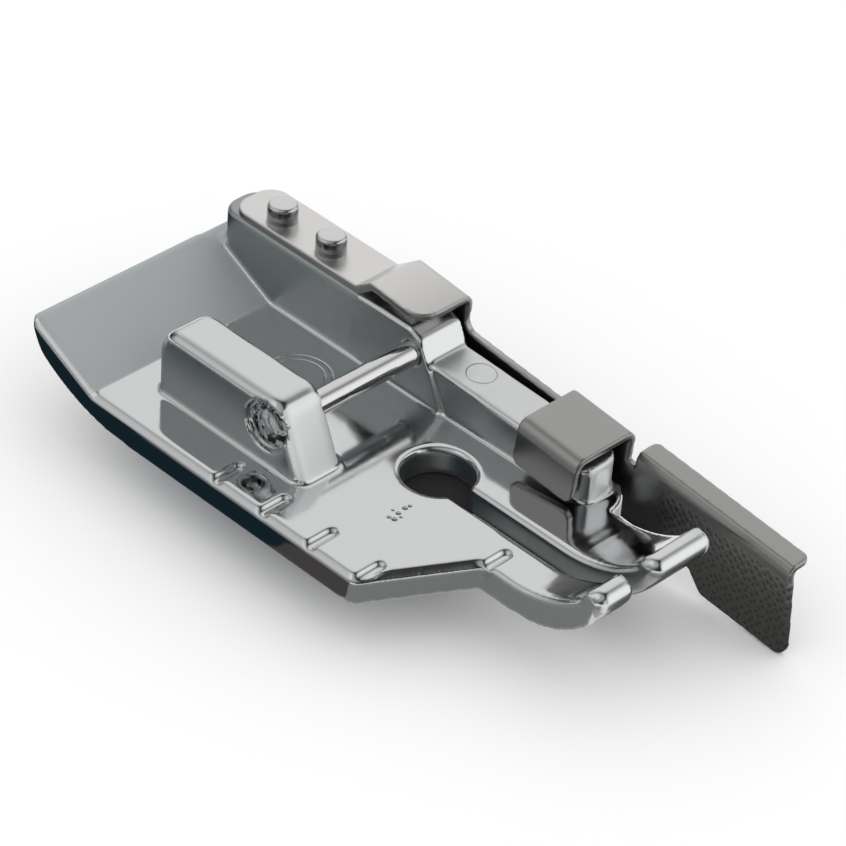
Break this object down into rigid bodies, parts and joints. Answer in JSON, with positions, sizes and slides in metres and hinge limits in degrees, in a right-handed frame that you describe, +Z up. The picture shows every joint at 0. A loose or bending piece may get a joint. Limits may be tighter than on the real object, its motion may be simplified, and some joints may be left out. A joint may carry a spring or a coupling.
{
  "type": "sewing machine presser foot",
  "caption": "Clip-on quilting presser foot with a needle hole and slot, upturned toes, seam marks and a sprung edge guide.",
  "frame": {"origin": "centre of the needle hole, in the plane of the sole", "axes": "+Z up along the needle, +Y to the rear of the machine, +X to the right, where the guide is"},
  "size_m": [0.0163, 0.0362, 0.0095],
  "materials": {
    "plated_casting": "polished plating on a die casting",
    "steel_pin": "polished, staked rough at its left end",
    "spring_sheet": "bright rolled sheet",
    "plated_studs": "polished"
  },
  "bodies": {
    "foot": {"foot_body": "plated_casting", "ankle_pin": "steel_pin", "guide_leaf": "spring_sheet", "guide_studs": "plated_studs"},
    "guide": {"guide_blade": "spring_sheet"}
  },
  "joints": [
    {"name": "guide_flex", "type": "hinge", "parent": "foot", "child": "guide", "pos_m": [0.0046, 0.0092, 0.0058], "axis": [-1, 0, 0], "range_deg": [0, 6], "stiffness_Nm_per_rad": 1}
  ]
}
